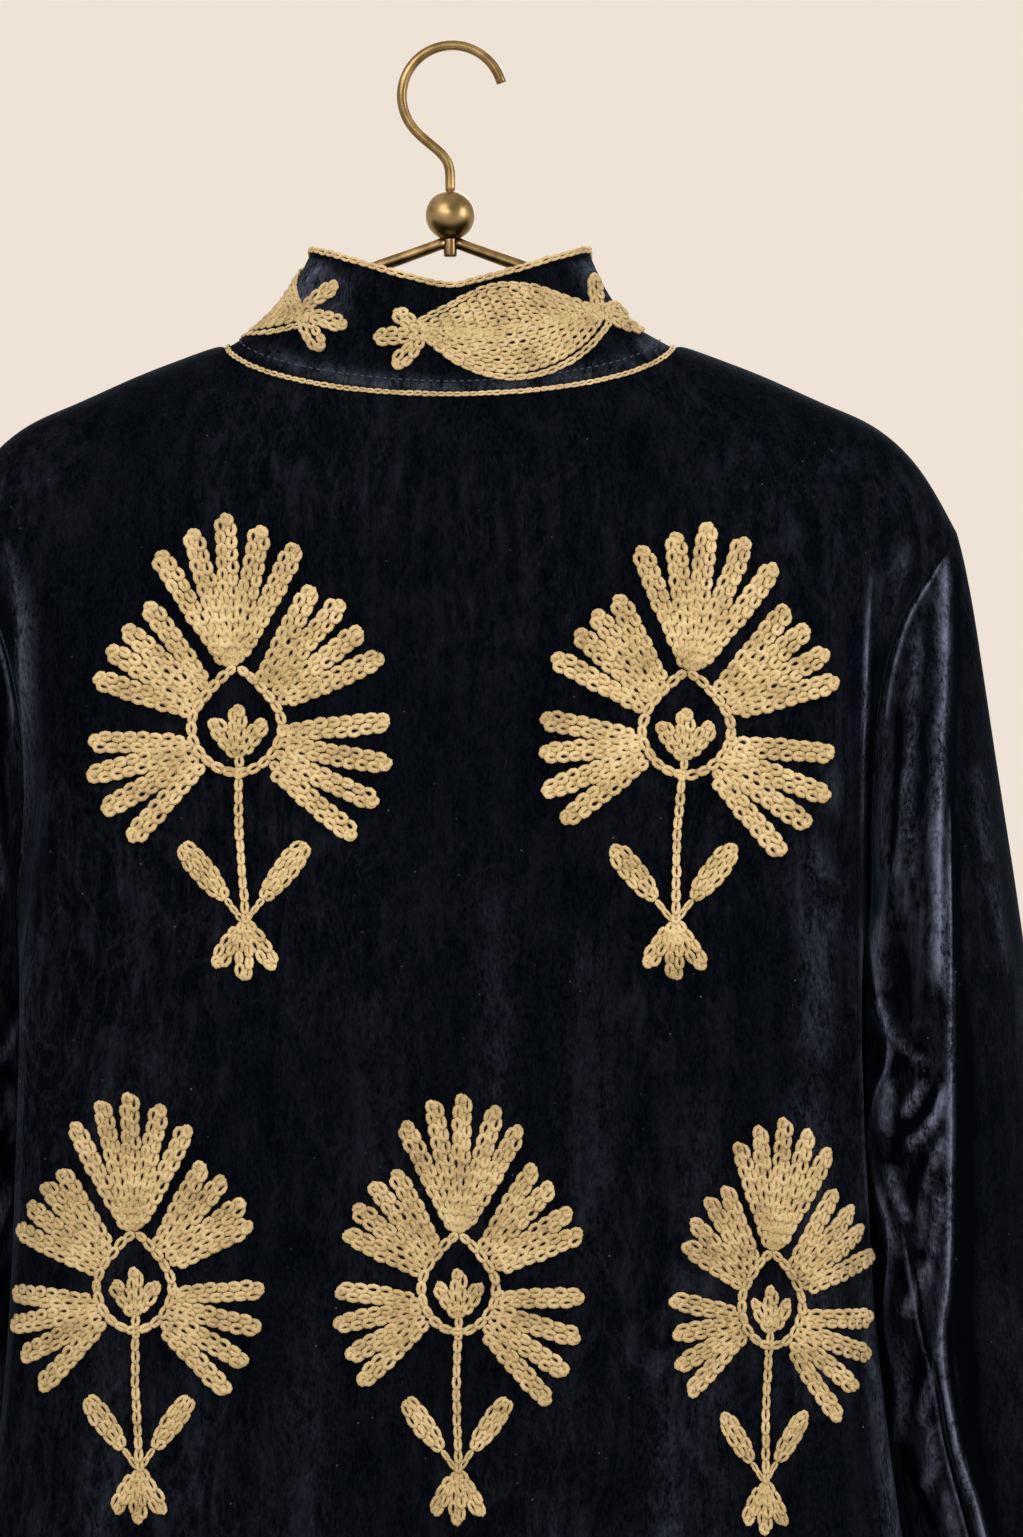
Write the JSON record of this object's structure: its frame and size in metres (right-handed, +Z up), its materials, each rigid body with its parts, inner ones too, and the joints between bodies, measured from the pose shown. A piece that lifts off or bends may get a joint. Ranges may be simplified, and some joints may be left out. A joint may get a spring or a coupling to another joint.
{
  "type": "velvet jacket on a wire hanger",
  "caption": "Stand-collar jacket hanging from a ball-and-hook wire hanger, back to -Y, with an open front, a hollow body and hollow sleeves.",
  "frame": {"origin": "top of the inside of the hanger's hook, where a rail carries it", "axes": "+Z up along the jacket's length, -Y out of the jacket's back, +X to the wearer's right"},
  "size_m": [0.6115, 0.1698, 0.8395],
  "materials": {
    "back": "navy velvet",
    "front_left": "navy velvet",
    "front_right": "navy velvet",
    "sleeve_left": "navy velvet",
    "sleeve_right": "navy velvet",
    "collar": "navy velvet",
    "hanger_hook": "aged brass",
    "hanger_ball": "aged brass",
    "hanger_stub": "aged brass",
    "hanger_arm_left": "aged brass",
    "hanger_arm_right": "aged brass"
  },
  "bodies": {
    "root": {"back": "back", "front_left": "front_left", "front_right": "front_right", "sleeve_left": "sleeve_left", "sleeve_right": "sleeve_right", "collar": "collar", "hanger_hook": "hanger_hook", "hanger_ball": "hanger_ball", "hanger_stub": "hanger_stub", "hanger_arm_left": "hanger_arm_left", "hanger_arm_right": "hanger_arm_right"}
  },
  "joints": []
}
